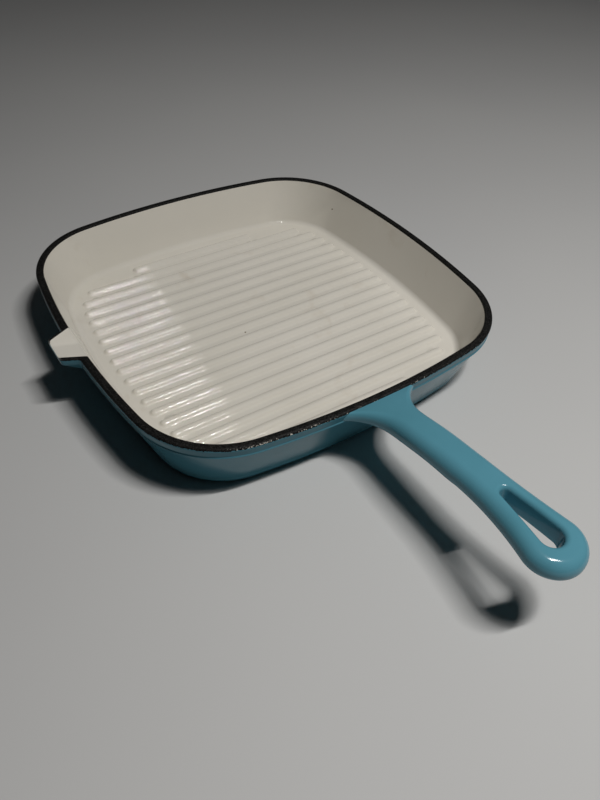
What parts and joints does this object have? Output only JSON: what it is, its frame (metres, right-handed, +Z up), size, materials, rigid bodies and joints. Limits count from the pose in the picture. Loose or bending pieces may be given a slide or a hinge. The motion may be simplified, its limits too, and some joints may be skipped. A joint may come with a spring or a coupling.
{
  "type": "grill pan",
  "caption": "Square enamelled cast iron grill pan with bowed sides, low ribs, a pouring spout in one side and a long cast handle ending in a hanging loop.",
  "frame": {"origin": "centre of the pan's base, in the plane of the table that it stands on", "axes": "+Z up, the handle points along -Y, the spout along -X, the ribs run along X"},
  "size_m": [0.2687, 0.3956, 0.0576],
  "materials": {
    "iron": "as cast",
    "cream_enamel": "glossy",
    "teal_enamel": "glossy",
    "black_enamel": "matt"
  },
  "bodies": {
    "root": {"bowl_casting": "iron", "handle_casting": "iron", "grill_ribs": "iron", "interior_enamel": "cream_enamel", "wall_enamel": "teal_enamel", "base_enamel": "teal_enamel", "handle_enamel": "teal_enamel", "rim_enamel": "black_enamel"}
  },
  "joints": []
}
